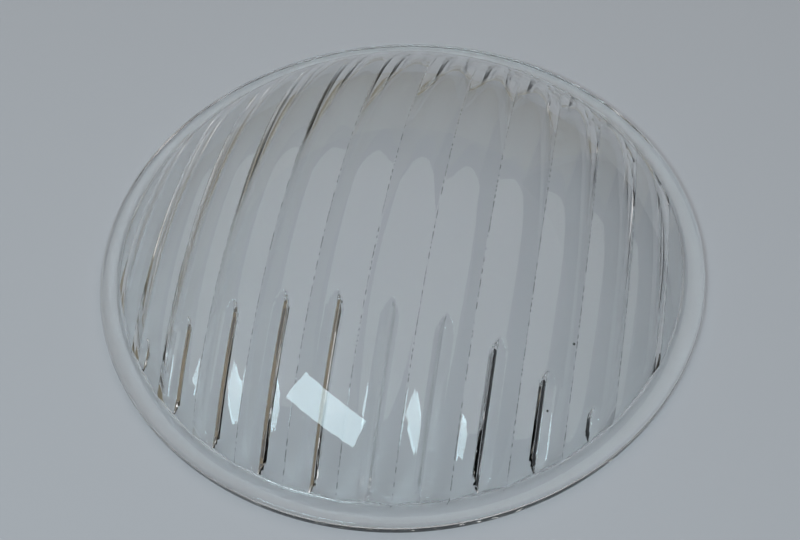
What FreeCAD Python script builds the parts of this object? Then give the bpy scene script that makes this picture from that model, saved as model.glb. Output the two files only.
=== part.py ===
import FreeCAD, Part
import math
import os

# Headlight lens: one piece of pressed glass, lying on its rim with the dome up.
# Frame: Z is the optical axis, Z = 0 the ground face of the rim, X runs across the
# flutes and Y along them. The zone with the short ribs is on the -Y side.
# Lengths are in millimetres and angles in degrees.

# The rim, which the headlight's bezel clamps
rim_diameter = 170.0
rim_height = 3.8
rim_top_bevel = 1.3
rim_foot_bevel = 0.5

# The smooth outer dome, set in from the rim's edge
flange_width = 5.0
dome_root_bevel = 0.7
overall_height = 37.6

# The hollow side: a ball of glass thickness under the crown, and a round opening
crown_thickness = 4.5
foot_wall = 2.5
opening_draft = 3.0

# The flutes: hollow channels side by side that follow the inside of the dome.
# Where two of them meet they leave a sharp ridge.
flute_pitch_angle = 7.07
flute_depth = 0.95

# The short ribs: one V rib along the middle of each flute, from a curved row of pointed
# tips down to the opening. They are what a V wheel leaves when it is sunk into the mould.
rib_count = 10
rib_width = 4.6
rib_height = 1.6
rib_wheel_radius = 10.0
rib_row_inset = 41.2
rib_row_radius = 190.0
shortest_rib = 5.0

dome_diameter = rim_diameter - 2 * flange_width
opening_diameter = dome_diameter - 2 * foot_wall
rim_radius = rim_diameter / 2
dome_radius = dome_diameter / 2
opening_radius = opening_diameter / 2
rib_row_offset = opening_radius - rib_row_inset
flute_angle = math.radians(flute_pitch_angle)

# How the V wheel is led
wheel_clearance = 0.5  # how far the V goes on past the flute's floor
tip_run_out = 0.57  # most of a rib's length that the run-out at its tip may take
foot_run_out = 0.75  # of the run-out at the tip, as the opening cuts the rest off


def ball_radius(foot_radius, height):
    """Radius of the ball whose cap has this foot radius and height."""
    return (foot_radius**2 + height**2) / (2 * height)


outer_ball = ball_radius(dome_radius, overall_height - rim_height)
outer_centre = overall_height - outer_ball
inner_height = overall_height - crown_thickness
inner_ball = ball_radius(opening_radius, inner_height)
inner_centre = inner_height - inner_ball
flute_floor = inner_ball + flute_depth

AXIS_POINT = FreeCAD.Vector(0, 0, inner_centre)
ACROSS = FreeCAD.Vector(1, 0, 0)
UP = FreeCAD.Vector(0, 0, 1)


def point(x, z):
    """A point of a profile in the XZ plane."""
    return FreeCAD.Vector(x, 0, z)


def line(start, end):
    return Part.LineSegment(start, end).toShape()


def polygon_face(corners):
    return Part.Face(Part.makePolygon(corners + corners[:1]))


def rim_disc():
    """The rim as a full disc with bevelled edges, and the bevelled root of the dome on it."""
    root_radius = math.sqrt(outer_ball**2 - (rim_height + dome_root_bevel - outer_centre) ** 2)
    corners = [
        point(0, 0),
        point(rim_radius - rim_foot_bevel, 0),
        point(rim_radius, rim_foot_bevel),
        point(rim_radius, rim_height - rim_top_bevel),
        point(rim_radius - rim_top_bevel, rim_height),
        point(dome_radius + dome_root_bevel, rim_height),
        point(root_radius, rim_height + dome_root_bevel),
        point(0, rim_height + dome_root_bevel),
    ]
    return polygon_face(corners).revolve(FreeCAD.Vector(), UP, 360)


def blank():
    """The lens without its hollow: a cap of the outer ball standing on the rim."""
    ball = Part.makeSphere(outer_ball, point(0, outer_centre), -ACROSS)
    upper = Part.makeCylinder(rim_radius, overall_height, point(0, rim_height / 2))
    return rim_disc().fuse(ball.common(upper)).removeSplitter()


def on_ball(angle, radius):
    """A point at this angle from the optical axis, on a ball about the inner centre."""
    return point(radius * math.sin(angle), inner_centre + radius * math.cos(angle))


def fluted_barrel():
    """A row of flute arcs turned about the cross axis through the inner ball's centre."""
    half_count = math.ceil(math.asin(opening_radius / inner_ball) / flute_angle)
    flutes = []
    for number in range(-half_count, half_count):
        start = number * flute_angle
        middle = start + flute_angle / 2
        end = start + flute_angle
        ends = on_ball(start, inner_ball), on_ball(end, inner_ball)
        flutes.append(Part.Arc(ends[0], on_ball(middle, flute_floor), ends[1]).toShape())
    first = on_ball(-half_count * flute_angle, inner_ball)
    last = on_ball(half_count * flute_angle, inner_ball)
    sides = [
        line(last, point(last.x, inner_centre)),
        line(point(last.x, inner_centre), point(first.x, inner_centre)),
        line(point(first.x, inner_centre), first),
    ]
    return Part.Face(Part.Wire(flutes + sides)).revolve(AXIS_POINT, ACROSS, 360)


class Rib:
    """Where a V rib lies, and how the wheel that makes it is led along its flute."""

    def __init__(self, number):
        self.slant = (number - (rib_count - 1) / 2) * flute_angle
        self.x = flute_floor * math.sin(self.slant)
        distance = flute_floor * math.cos(self.slant)
        tip_y = rib_row_offset + rib_row_radius - math.sqrt(rib_row_radius**2 - self.x**2)
        foot_y = math.sqrt(opening_radius**2 - self.x**2)
        self.length = foot_y - tip_y
        tip = math.asin(tip_y / distance)
        foot = math.asin(foot_y / distance)
        full_reach = math.sqrt(2 * rib_wheel_radius * rib_height / (1 + rib_wheel_radius / distance))
        reach = min(full_reach, tip_run_out * (foot - tip) * distance)
        self.height = rib_height * (reach / full_reach) ** 2
        self.first = tip + reach / distance
        self.last = max(foot - foot_run_out * reach / distance, self.first)

    def profile(self):
        """The wheel's V, square to the flute's floor, with its keel in the hollow."""
        along = point(math.cos(self.slant), -math.sin(self.slant))
        outward = point(math.sin(self.slant), math.cos(self.slant))
        slope = rib_width / 2 / rib_height
        floor = AXIS_POINT + outward * flute_floor
        keel = floor - outward * self.height
        top = floor + outward * wheel_clearance
        half_width = slope * (self.height + wheel_clearance)
        face = polygon_face([keel, top + along * half_width, top - along * half_width])
        return face, keel + outward * rib_wheel_radius, along

    def cuts(self):
        """The V led along the flute, and turned about the wheel's hub at both ends."""
        face, hub, along = self.profile()
        start = face.revolve(hub, along, 90)
        start.rotate(AXIS_POINT, ACROSS, math.degrees(self.first))
        end = face.revolve(hub, along, -90)
        end.rotate(AXIS_POINT, ACROSS, math.degrees(self.last))
        if self.last > self.first:
            middle = face.rotated(AXIS_POINT, ACROSS, math.degrees(self.first))
            return [start, middle.revolve(AXIS_POINT, ACROSS, math.degrees(self.last - self.first)), end]
        return [start, end]


def hollow():
    """The inside of the lens: fluted and ribbed, and no wider than its round opening."""
    ribs = [Rib(number) for number in range(rib_count)]
    cuts = [cut for rib in ribs if rib.length > shortest_rib for cut in rib.cuts()]
    throat_top = opening_radius - overall_height * math.tan(math.radians(opening_draft))
    throat = Part.makeCone(opening_radius, throat_top, overall_height)
    return fluted_barrel().cut(cuts).common(throat)


lens = blank().cut(hollow())
if lens.ShapeType != "Solid":
    lens = lens.Solids[0]

os.makedirs("parts", exist_ok=True)
lens.exportStep("parts/lens.step")
print("lens", lens.isValid(), len(lens.Faces), "faces", round(lens.Volume / 1000, 2), "cm3")
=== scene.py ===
import math

import bmesh
import bpy
import numpy as np
from mathutils import Matrix, Vector


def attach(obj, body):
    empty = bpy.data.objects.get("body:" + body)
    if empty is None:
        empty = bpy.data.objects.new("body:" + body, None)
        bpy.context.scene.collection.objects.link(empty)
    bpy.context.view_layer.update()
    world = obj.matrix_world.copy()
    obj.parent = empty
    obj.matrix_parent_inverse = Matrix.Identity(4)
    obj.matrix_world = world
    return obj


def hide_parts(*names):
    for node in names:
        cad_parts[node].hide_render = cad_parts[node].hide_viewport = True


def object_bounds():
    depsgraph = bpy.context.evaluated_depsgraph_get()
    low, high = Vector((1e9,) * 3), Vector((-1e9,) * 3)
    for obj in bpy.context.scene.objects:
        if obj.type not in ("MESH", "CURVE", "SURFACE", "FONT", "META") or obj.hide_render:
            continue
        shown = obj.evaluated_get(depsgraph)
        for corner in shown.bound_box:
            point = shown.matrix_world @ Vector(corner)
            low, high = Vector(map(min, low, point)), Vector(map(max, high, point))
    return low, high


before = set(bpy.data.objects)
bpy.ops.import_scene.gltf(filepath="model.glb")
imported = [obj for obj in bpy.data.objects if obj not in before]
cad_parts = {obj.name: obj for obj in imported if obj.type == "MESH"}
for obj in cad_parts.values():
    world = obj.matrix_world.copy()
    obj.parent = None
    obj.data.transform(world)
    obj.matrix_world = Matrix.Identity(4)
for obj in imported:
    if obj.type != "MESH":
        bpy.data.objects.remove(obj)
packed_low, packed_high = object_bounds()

# Headlight lens of clear pressed glass, lying on its rim with the dome up.
# Metres, in the part's frame: Z is the optical axis, Z = 0 the table, X runs across
# the flutes and Y along them, with the short ribs on the -Y side.

MM = 0.001

# The lens, as in the CAD part
RIM_RADIUS = packed_high.x
LENS_HEIGHT = packed_high.z
RIM_HEIGHT = 3.8 * MM
RIM_TOP_ROUND = 1.3 * MM
RIM_FOOT_ROUND = 0.5 * MM
DOME_RADIUS = 80.0 * MM
DOME_ROOT_ROUND = 0.8 * MM
CROWN_THICKNESS = 4.5 * MM
OPENING_RADIUS = 77.5 * MM
OPENING_DRAFT = math.tan(math.radians(3.0))
FLUTE_PITCH = math.radians(7.07)
FLUTE_DEPTH = 0.95 * MM
RIB_COUNT = 10
RIB_WIDTH = 4.6 * MM
RIB_HEIGHT = 1.6 * MM
RIB_WHEEL = 10.0 * MM
RIB_ROW_OFFSET = OPENING_RADIUS - 41.2 * MM
RIB_ROW_RADIUS = 190.0 * MM
TIP_RUN_OUT = 0.57
FOOT_RUN_OUT = 0.75

# How softly pressed glass takes its edges
RIDGE_MELT = 0.12 * MM
RIB_MELT = 0.06 * MM

# The camera, as it stood for the photo
FOCAL_PIXELS = 917.6
IMAGE_WIDTH = 800
SENSOR_WIDTH = 36.0
CAMERA_DISTANCE = 0.25946
CAMERA_ELEVATION = math.radians(53.2646)
CAMERA_AZIMUTH = math.radians(-14.1243)
CAMERA_ROLL = math.radians(-3.6209)
CAMERA_TARGET = Vector((-0.0004165, -0.0084575, 0.0))

# The window as it stood for the photo: place, turn in degrees, and size
WINDOW_PLACE = (-0.4155, -1.0872, 1.0976)
WINDOW_TURN = (182.81, -116.77, -128.22)
WINDOW_SIZE = (0.276, 0.686)
WINDOW_POWER = 5.0
WINDOW_COLOR = (0.7, 0.92, 1.0)

# The light from the same side that falls on the table, bent by the glass
DAYLIGHT_SIZE = (0.4, 0.45)
DAYLIGHT_POWER = 14.0

# The soft light from above
FILL_PLACE = (0, 0, 2.0)
FILL_SIZE = (4.0, 4.0)
FILL_POWER = 52.0
FILL_COLOR = (0.98, 0.98, 0.985)

# The table and the room around it
TABLE_COLOR = (0.344, 0.34, 0.358, 1)
TABLE_REACH = 3.0
TABLE_HEIGHT = -0.1 * MM
ROOM_COLOR = (0.11, 0.108, 0.105, 1)
WOOD_COLOR = (0.42, 0.36, 0.27, 1)
DARK_COLOR = (0.03, 0.03, 0.032, 1)
WALL_DISTANCE = 1.6
WALL_STEPS = 12

# The glass, and what light that goes straight through one of its faces keeps
GLASS_IOR = 1.52
GLASS_COLOR = (0.992, 0.995, 0.99, 1)
STRAIGHT_COLOR = (0.45, 0.45, 0.45, 1)

# Painted shade along the ridges inside: dark lines, broken into patches; line widths are shares of a
# flute's width
RIDGE_SHADE_COLOR = (0.012, 0.011, 0.01, 1)
LINE_HALF_WIDTH = 0.013
LINE_SOFTNESS = 0.007
LINE_STRENGTH = 0.75
PATCH_SCALE = 900.0
PATCH_DETAIL = 3.0
PATCH_LIMIT = 0.56
PATCH_SOFTNESS = 0.12
INSIDE_DEPTH = 1.6 * MM
INSIDE_SOFTNESS = 0.4 * MM

# Dark chips on the outside: place and radius
CHIPS = [
    ((0.05075, -0.03647, 0.01846), 0.4 * MM),
    ((0.04651, -0.05252, 0.01279), 0.35 * MM),
]
CHIP_SOFTNESS = 0.1 * MM


def ball_radius(foot_radius, height):
    """Radius of the ball whose cap has this foot radius and height."""
    return (foot_radius**2 + height**2) / (2 * height)


OUTER_BALL = ball_radius(DOME_RADIUS, LENS_HEIGHT - RIM_HEIGHT)
OUTER_CENTRE = LENS_HEIGHT - OUTER_BALL
INNER_BALL = ball_radius(OPENING_RADIUS, LENS_HEIGHT - CROWN_THICKNESS)
INNER_CENTRE = LENS_HEIGHT - CROWN_THICKNESS - INNER_BALL
FLUTE_FLOOR = INNER_BALL + FLUTE_DEPTH
FLUTES_A_SIDE = math.ceil(math.asin(OPENING_RADIUS / INNER_BALL) / FLUTE_PITCH)


def melt(a, b, softness):
    """The larger of two heights, with a soft change between them."""
    return (a + b + np.sqrt((a - b) ** 2 + softness**2)) / 2


def melt_low(a, b, softness):
    """The smaller of two heights, with a soft change between them."""
    return -melt(-a, -b, softness)


def flute_reach(x):
    """Distance of the fluted surface from the cross axis, at each place across the flutes."""
    chord = INNER_BALL * math.cos(FLUTE_PITCH / 2) - FLUTE_FLOOR
    offset = (INNER_BALL**2 - FLUTE_FLOOR**2) / (2 * chord)
    radius = FLUTE_FLOOR - offset
    reaches = []
    for number in range(-FLUTES_A_SIDE - 1, FLUTES_A_SIDE + 1):
        slant = (number + 0.5) * FLUTE_PITCH
        rest = radius**2 - (x - offset * math.sin(slant)) ** 2
        height = offset * math.cos(slant) + np.sqrt(np.maximum(rest, 0))
        reaches.append(np.where(rest > 0, height, 0))
    reaches = np.sort(np.array(reaches), axis=0)
    return melt(reaches[-1], reaches[-2], RIDGE_MELT)


class Rib:
    """One short V rib: where it lies, how high it stands and where it runs out."""

    def __init__(self, number):
        self.slant = (number - (RIB_COUNT - 1) / 2) * FLUTE_PITCH
        self.x = FLUTE_FLOOR * math.sin(self.slant)
        distance = FLUTE_FLOOR * math.cos(self.slant)
        row_drop = RIB_ROW_RADIUS - math.sqrt(RIB_ROW_RADIUS**2 - self.x**2)
        tip = math.asin((RIB_ROW_OFFSET + row_drop) / distance)
        foot = math.asin(math.sqrt(OPENING_RADIUS**2 - self.x**2) / distance)
        full_reach = math.sqrt(2 * RIB_WHEEL * RIB_HEIGHT / (1 + RIB_WHEEL / distance))
        reach = min(full_reach, TIP_RUN_OUT * (foot - tip) * distance)
        height = RIB_HEIGHT * (reach / full_reach) ** 2
        self.first = tip + reach / distance
        self.last = max(foot - FOOT_RUN_OUT * reach / distance, self.first)
        self.hub_x = self.x + math.sin(self.slant) * (RIB_WHEEL - height)
        self.hub = distance + math.cos(self.slant) * (RIB_WHEEL - height)
        self.slope = RIB_HEIGHT / (RIB_WIDTH / 2)

    def reach(self, x, turn):
        """Distance of the rib's surface from the cross axis, found by steps towards the wheel's rim."""
        past = turn - np.clip(turn, self.first, self.last)
        far = np.full_like(past, 2 * INNER_BALL)
        reach = np.full_like(past, self.hub - RIB_WHEEL * math.cos(self.slant))
        for step in range(12):
            beside = self.beside(x, reach, past)
            drop = RIB_WHEEL - self.slope * np.hypot(beside, RIB_MELT)
            rest = drop**2 - (reach * np.sin(past)) ** 2
            low = np.sqrt(np.maximum(rest, 0))
            lean = (x - self.hub_x) * math.sin(self.slant)
            reach = (self.hub - (low + lean) / math.cos(self.slant)) / np.cos(past)
        inside = (rest > 0) & (np.abs(past) < 0.12) & (np.abs(x - self.x) < RIB_WIDTH)
        return np.where(inside, reach, far)

    def beside(self, x, reach, past):
        """How far a point lies beside the wheel's middle plane, along the wheel's own axis."""
        up = reach * np.cos(past) - self.hub
        return (x - self.hub_x) * math.cos(self.slant) - up * math.sin(self.slant)


RIBS = [Rib(number) for number in range(RIB_COUNT)]


def hollow_reach(x, turn):
    """Distance of the inner surface from the cross axis, at a turn towards the ribs."""
    reach = flute_reach(x)
    for rib in RIBS:
        reach = melt_low(reach, rib.reach(x, turn), RIB_MELT)
    return reach


def columns():
    """Places across the flutes where the mesh has a row of points: close together at each edge."""
    places = []
    for number in range(-FLUTES_A_SIDE, FLUTES_A_SIDE + 1):
        ridge = INNER_BALL * math.sin(number * FLUTE_PITCH)
        places += [ridge + offset * MM for offset in (-0.4, -0.12, 0, 0.12, 0.4)]
        places += [INNER_BALL * math.sin((number + share / 7) * FLUTE_PITCH) for share in range(1, 7)]
    for rib in RIBS:
        half = RIB_WIDTH / 2 * math.cos(rib.slant)
        shift = RIB_HEIGHT * math.sin(rib.slant)
        places += [rib.x + half * share / 4 for share in range(-4, 5)]
        places += [rib.x - shift + offset * MM for offset in (-0.12, 0, 0.12)]
    turns = [math.radians(turn) for turn in range(2, 24, 2)]
    places += [side * OPENING_RADIUS * math.cos(turn) for side in (-1, 1) for turn in turns]
    kept = []
    for place in sorted(places):
        if abs(place) < OPENING_RADIUS * 0.9995 and (not kept or place - kept[-1] > 0.08 * MM):
            kept.append(place)
    return np.array(kept)


def arch_turns(x, side):
    """How far the inner surface runs at each place before it meets the opening's wall."""
    near, far = np.zeros_like(x), np.full_like(x, math.radians(60))
    for step in range(36):
        turn = (near + far) / 2
        reach = hollow_reach(x, side * turn)
        out = np.hypot(x, reach * np.sin(turn))
        within = out < OPENING_RADIUS - OPENING_DRAFT * (INNER_CENTRE + reach * np.cos(turn))
        near, far = np.where(within, turn, near), np.where(within, far, turn)
    return near


# Points of each column: up the opening's wall, then along the flutes, closer on the ribs' side
WALL_POINTS = 3
RIB_POINTS = 110
FLUTE_POINTS = 85
RIBS_START = math.radians(19)


def wall_points(x, side, arch_height):
    """Points from the rim's underside up the opening's wall to below an arch."""
    points = []
    for step in range(WALL_POINTS):
        z = arch_height * step / WALL_POINTS
        y = math.sqrt(max((OPENING_RADIUS - OPENING_DRAFT * z) ** 2 - x**2, 0))
        points.append((x, side * y, z))
    return points


def column_points(x, towards, away):
    """The section of the hollow at one place across the flutes, from one foot over to the other."""
    start = min(RIBS_START, towards / 2)
    turns = np.concatenate((
        np.linspace(towards, start, RIB_POINTS, endpoint=False),
        np.linspace(start, -away, FLUTE_POINTS),
    ))
    reach = hollow_reach(np.full_like(turns, x), turns)
    arc = [(x, -r * math.sin(t), INNER_CENTRE + r * math.cos(t)) for r, t in zip(reach, turns)]
    if towards < 1e-6:
        arc = [(x, 0, (OPENING_RADIUS - abs(x)) / OPENING_DRAFT)] * len(arc)
    return wall_points(x, -1, arc[0][2]) + arc + wall_points(x, 1, arc[-1][2])[::-1]


def round_points(x, z, radius, first, last, steps):
    """Points of a round edge between two angles, as places out from the axis and heights."""
    angles = [first + (last - first) * step / steps for step in range(steps + 1)]
    return [(x + radius * math.cos(angle), z + radius * math.sin(angle)) for angle in angles]


def outer_outline():
    """The outside from the rim's underside to just below the crown."""
    top = math.pi / 2
    root_z = RIM_HEIGHT + DOME_ROOT_ROUND
    root_x = math.sqrt((OUTER_BALL + DOME_ROOT_ROUND) ** 2 - (root_z - OUTER_CENTRE) ** 2)
    root_angle = math.atan2(root_z - OUTER_CENTRE, root_x)
    shoulder = RIM_RADIUS - RIM_TOP_ROUND, RIM_HEIGHT - RIM_TOP_ROUND
    dome = round_points(0, OUTER_CENTRE, OUTER_BALL, root_angle, top, 32)
    return (
        round_points(RIM_RADIUS - RIM_FOOT_ROUND, RIM_FOOT_ROUND, RIM_FOOT_ROUND, -top, 0, 5)
        + round_points(*shoulder, RIM_TOP_ROUND, 0, top, 9)
        + round_points(root_x, root_z, DOME_ROOT_ROUND, -top, root_angle - math.pi, 5)
        + dome[1:-1]
    )


def merge_doubles(mesh):
    """Joins the points that fall together at the ends of the hollow."""
    work = bmesh.new()
    work.from_mesh(mesh)
    bmesh.ops.remove_doubles(work, verts=work.verts, dist=0.0005 * MM)
    bmesh.ops.recalc_face_normals(work, faces=work.faces)
    open_edges = sum(1 for edge in work.edges if not edge.is_manifold)
    print("lens mesh:", len(work.verts), "points,", len(work.faces), "faces,", open_edges, "open edges")
    work.to_mesh(mesh)
    work.free()


def lens_mesh():
    """The whole lens as one closed mesh: the hollow column by column, then rings round the outside."""
    vertices, faces = [], []

    def add(point):
        vertices.append(point)
        return len(vertices) - 1

    left = add((-OPENING_RADIUS, 0, 0))
    right = add((OPENING_RADIUS, 0, 0))
    places = columns()
    sections = zip(places, arch_turns(places, 1), arch_turns(places, -1))
    grid = [[add(point) for point in column_points(*section)] for section in sections]
    for one, two in zip(grid, grid[1:]):
        for step in range(len(one) - 1):
            faces.append((one[step], one[step + 1], two[step + 1], two[step]))
    for step in range(len(grid[0]) - 1):
        faces.append((left, grid[0][step + 1], grid[0][step]))
        faces.append((right, grid[-1][step], grid[-1][step + 1]))
    ring = [left] + [column[0] for column in grid] + [right] + [column[-1] for column in reversed(grid)]
    angles = [math.atan2(vertices[index][1], vertices[index][0]) for index in ring]
    for out, z in outer_outline():
        upper = [add((out * math.cos(angle), out * math.sin(angle), z)) for angle in angles]
        for step in range(len(ring)):
            after = (step + 1) % len(ring)
            faces.append((ring[step], ring[after], upper[after], upper[step]))
        ring = upper
    crown = add((0, 0, LENS_HEIGHT))
    for step in range(len(ring)):
        faces.append((ring[step], ring[(step + 1) % len(ring)], crown))
    mesh = bpy.data.meshes.new("lens")
    mesh.from_pydata(vertices, [], faces)
    mesh.validate()
    merge_doubles(mesh)
    mesh.shade_smooth()
    mesh.set_sharp_from_angle(angle=math.radians(22))
    return mesh


class Value:
    """A shader value that can be worked out like a number."""

    def __init__(self, tree, socket):
        self.tree = tree
        self.socket = socket

    def work(self, operation, other=None):
        node = self.tree.nodes.new("ShaderNodeMath")
        node.operation = operation
        self.tree.links.new(self.socket, node.inputs[0])
        if isinstance(other, Value):
            self.tree.links.new(other.socket, node.inputs[1])
        elif other is not None:
            node.inputs[1].default_value = other
        return Value(self.tree, node.outputs[0])

    def __mul__(self, other):
        return self.work("MULTIPLY", other)

    def __add__(self, other):
        return self.work("ADD", other)

    def __sub__(self, other):
        return self.work("SUBTRACT", other)

    def below(self, limit, softness):
        """1 under the limit, 0 above it, with a soft change in between."""
        return (self * -1.0 + limit).work("DIVIDE", softness).work("MAXIMUM", 0.0).work("MINIMUM", 1.0)


def distance_to(tree, place, point):
    """How far the shaded place lies from a point."""
    node = tree.nodes.new("ShaderNodeVectorMath")
    node.operation = "DISTANCE"
    tree.links.new(place, node.inputs[0])
    node.inputs[1].default_value = point
    return Value(tree, node.outputs["Value"])


def noise(tree, place, scale, detail):
    """Soft random patches, about 0.5 on average."""
    node = tree.nodes.new("ShaderNodeTexNoise")
    node.inputs["Scale"].default_value = scale
    node.inputs["Detail"].default_value = detail
    tree.links.new(place, node.inputs["Vector"])
    return Value(tree, node.outputs[0])


def ridge_shade_and_chips(tree):
    """Where the glass is darkened: painted shade as dark lines along the ridges inside, broken into
    patches, and dark chips outside.
    """
    place = tree.nodes.new("ShaderNodeTexCoord").outputs["Object"]
    parts = tree.nodes.new("ShaderNodeSeparateXYZ")
    tree.links.new(place, parts.inputs[0])
    across = Value(tree, parts.outputs["X"]) * (1.0 / INNER_BALL)
    flute = across.work("ARCSINE") * (1.0 / FLUTE_PITCH)
    off_ridge = (flute - flute.work("ROUND")).work("ABSOLUTE")
    depth = distance_to(tree, place, (0, 0, INNER_CENTRE))
    inside = depth.below(INNER_BALL + INSIDE_DEPTH, INSIDE_SOFTNESS)
    patchy = noise(tree, place, PATCH_SCALE, PATCH_DETAIL).below(PATCH_LIMIT, PATCH_SOFTNESS)
    # Painted shade: dark lines on the inner ridges, in patches
    shade_and_chips = off_ridge.below(LINE_HALF_WIDTH, LINE_SOFTNESS) * inside * patchy * LINE_STRENGTH
    for chip, radius in CHIPS:
        shade_and_chips = shade_and_chips.work("MAXIMUM", distance_to(tree, place, chip).below(radius, CHIP_SOFTNESS))
    return shade_and_chips


def glass_material():
    """Clear glass. Lamp light also goes straight through it, on top of what it bends."""
    material = bpy.data.materials.new("lens_glass")
    material.use_nodes = True
    tree = material.node_tree
    glass = tree.nodes["Principled BSDF"]
    output = tree.nodes["Material Output"]
    glass.inputs["Transmission Weight"].default_value = 1.0
    glass.inputs["Roughness"].default_value = 0.0
    glass.inputs["IOR"].default_value = GLASS_IOR
    # The base colour mixes in painted shade along the inner ridges, and the dark chips
    mix = tree.nodes.new("ShaderNodeMix")
    mix.data_type = "RGBA"
    tree.links.new(ridge_shade_and_chips(tree).socket, mix.inputs["Factor"])
    mix.inputs[6].default_value = GLASS_COLOR
    mix.inputs[7].default_value = RIDGE_SHADE_COLOR
    tree.links.new(mix.outputs[2], glass.inputs["Base Color"])
    clear = tree.nodes.new("ShaderNodeBsdfTransparent")
    clear.inputs["Color"].default_value = STRAIGHT_COLOR
    light_path = tree.nodes.new("ShaderNodeLightPath")
    choice = tree.nodes.new("ShaderNodeMixShader")
    tree.links.new(light_path.outputs["Is Shadow Ray"], choice.inputs["Fac"])
    tree.links.new(glass.outputs["BSDF"], choice.inputs[1])
    tree.links.new(clear.outputs["BSDF"], choice.inputs[2])
    tree.links.new(choice.outputs[0], output.inputs["Surface"])
    return material


def add_object(name, data):
    made = bpy.data.objects.new(name, data)
    bpy.context.scene.collection.objects.link(made)
    return made


def make_lens():
    lens = add_object("lens_piece", lens_mesh())
    lens.data.materials.append(glass_material())
    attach(lens, "root")
    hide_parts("lens")


def plain_material(name, color, roughness):
    material = bpy.data.materials.new(name)
    material.use_nodes = True
    surface = material.node_tree.nodes["Principled BSDF"]
    surface.inputs["Base Color"].default_value = color
    surface.inputs["Roughness"].default_value = roughness
    return material


def make_table():
    corners = [(-1, -1), (1, -1), (1, 1), (-1, 1)]
    mesh = bpy.data.meshes.new("table")
    points = [(x * TABLE_REACH, y * TABLE_REACH, TABLE_HEIGHT) for x, y in corners]
    mesh.from_pydata(points, [], [(0, 1, 2, 3)])
    mesh.materials.append(plain_material("table_top", TABLE_COLOR, 0.6))
    add_object("table", mesh)


def make_wall(name, color, first, last, height):
    """A curved wall of the room, out of sight, that shows only in the glass."""
    points = []
    for step in range(WALL_STEPS + 1):
        angle = math.radians(first + (last - first) * step / WALL_STEPS)
        for z in (0, height):
            points.append((WALL_DISTANCE * math.cos(angle), WALL_DISTANCE * math.sin(angle), z))
    faces = [(2 * step, 2 * step + 2, 2 * step + 3, 2 * step + 1) for step in range(WALL_STEPS)]
    mesh = bpy.data.meshes.new(name)
    mesh.from_pydata(points, [], faces)
    mesh.materials.append(plain_material(name, color, 0.9))
    add_object(name, mesh)


def make_room():
    """Wood on the left and at the back, and a dark room on the right."""
    make_wall("wood_wall", WOOD_COLOR, 62, 220, 1.1)
    make_wall("dark_wall", DARK_COLOR, -75, 60, 1.3)


def make_lamp(name, power, color, size, place, turn):
    light = bpy.data.lights.new(name, "AREA")
    light.shape = "RECTANGLE"
    light.size, light.size_y = size
    light.energy = power
    light.color = color
    lamp = add_object(name, light)
    lamp.location = place
    lamp.rotation_euler = [math.radians(angle) for angle in turn]
    return lamp


def make_lamps():
    """The window that shows on the dome, its light on the table, and soft light from above."""
    make_lamp("window", WINDOW_POWER, WINDOW_COLOR, WINDOW_SIZE, WINDOW_PLACE, WINDOW_TURN)
    daylight = make_lamp(
        "daylight", DAYLIGHT_POWER, WINDOW_COLOR, DAYLIGHT_SIZE, WINDOW_PLACE, WINDOW_TURN
    )
    fill = make_lamp("fill", FILL_POWER, FILL_COLOR, FILL_SIZE, FILL_PLACE, (0, 0, 0))
    daylight.visible_glossy = False
    fill.visible_glossy = False


def make_world():
    """The dim room that the glass shows."""
    world = bpy.data.worlds.new("room")
    bpy.context.scene.world = world
    world.use_nodes = True
    background = world.node_tree.nodes["Background"]
    background.inputs["Color"].default_value = ROOM_COLOR
    background.inputs["Strength"].default_value = 1.0


def make_camera():
    turn = Matrix.Rotation(-CAMERA_AZIMUTH, 3, "Z")
    back = Vector((0, -math.cos(CAMERA_ELEVATION), math.sin(CAMERA_ELEVATION)))
    place = turn @ (CAMERA_TARGET + CAMERA_DISTANCE * back)
    forward = -(turn @ back)
    right = forward.cross(Vector((0, 0, 1))).normalized()
    up = right.cross(forward)
    rolled_right = math.cos(CAMERA_ROLL) * right + math.sin(CAMERA_ROLL) * up
    rolled_up = math.cos(CAMERA_ROLL) * up - math.sin(CAMERA_ROLL) * right
    pose = Matrix((rolled_right, rolled_up, -forward)).transposed().to_4x4()
    pose.translation = place
    camera = bpy.data.cameras.new("camera")
    camera.sensor_width = SENSOR_WIDTH
    camera.lens = FOCAL_PIXELS / IMAGE_WIDTH * SENSOR_WIDTH
    holder = add_object("camera", camera)
    holder.matrix_world = pose
    bpy.context.scene.camera = holder


def set_render():
    scene = bpy.context.scene
    scene.view_settings.view_transform = "Standard"
    scene.cycles.use_denoising = True
    scene.cycles.max_bounces = 16
    scene.cycles.transmission_bounces = 16
    scene.cycles.glossy_bounces = 8
    scene.cycles.caustics_reflective = True
    scene.cycles.caustics_refractive = True


make_lens()
make_table()
make_room()
make_world()
make_lamps()
make_camera()
set_render()
